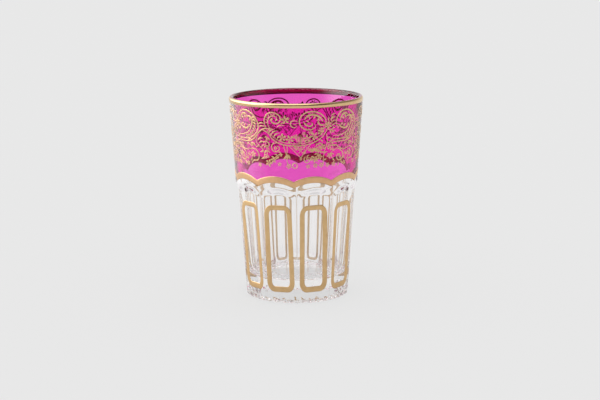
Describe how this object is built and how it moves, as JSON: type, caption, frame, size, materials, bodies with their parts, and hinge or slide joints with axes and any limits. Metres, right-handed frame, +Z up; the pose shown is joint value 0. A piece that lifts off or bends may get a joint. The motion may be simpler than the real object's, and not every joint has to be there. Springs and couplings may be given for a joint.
{
  "type": "tea glass",
  "caption": "Straight-sided pressed tea glass with flat panels over a thick base, a magenta stained collar and fired gilt scrollwork, scalloped border and panel outlines.",
  "frame": {"origin": "on the table, at the middle of the foot", "axes": "+Z up along the glass's axis; -Y towards the viewer, with an edge between two panels facing -Y"},
  "size_m": [0.06, 0.06, 0.0901],
  "materials": {
    "clear_glass": "fire-polished clear soda glass",
    "magenta_lustre": "glossy transparent stain fired on the outside",
    "gilding": "satin fired gold"
  },
  "bodies": {
    "root": {"glass_body": "clear_glass", "lustre": "magenta_lustre", "rim_gilding": "gilding", "scalloped_border": "gilding", "panel_frame_01": "gilding", "panel_frame_02": "gilding", "panel_frame_03": "gilding", "panel_frame_04": "gilding", "panel_frame_05": "gilding", "panel_frame_06": "gilding", "panel_frame_07": "gilding", "panel_frame_08": "gilding", "panel_frame_09": "gilding", "panel_frame_10": "gilding", "great_scroll_1": "gilding", "great_scroll_2": "gilding", "great_scroll_3": "gilding", "great_scroll_4": "gilding", "festoon_1": "gilding", "festoon_2": "gilding", "festoon_3": "gilding", "festoon_4": "gilding", "blossoms_1": "gilding", "blossoms_2": "gilding", "blossoms_3": "gilding", "blossoms_4": "gilding", "lower_spray_1": "gilding", "lower_spray_2": "gilding", "lower_spray_3": "gilding", "lower_spray_4": "gilding"}
  },
  "joints": []
}
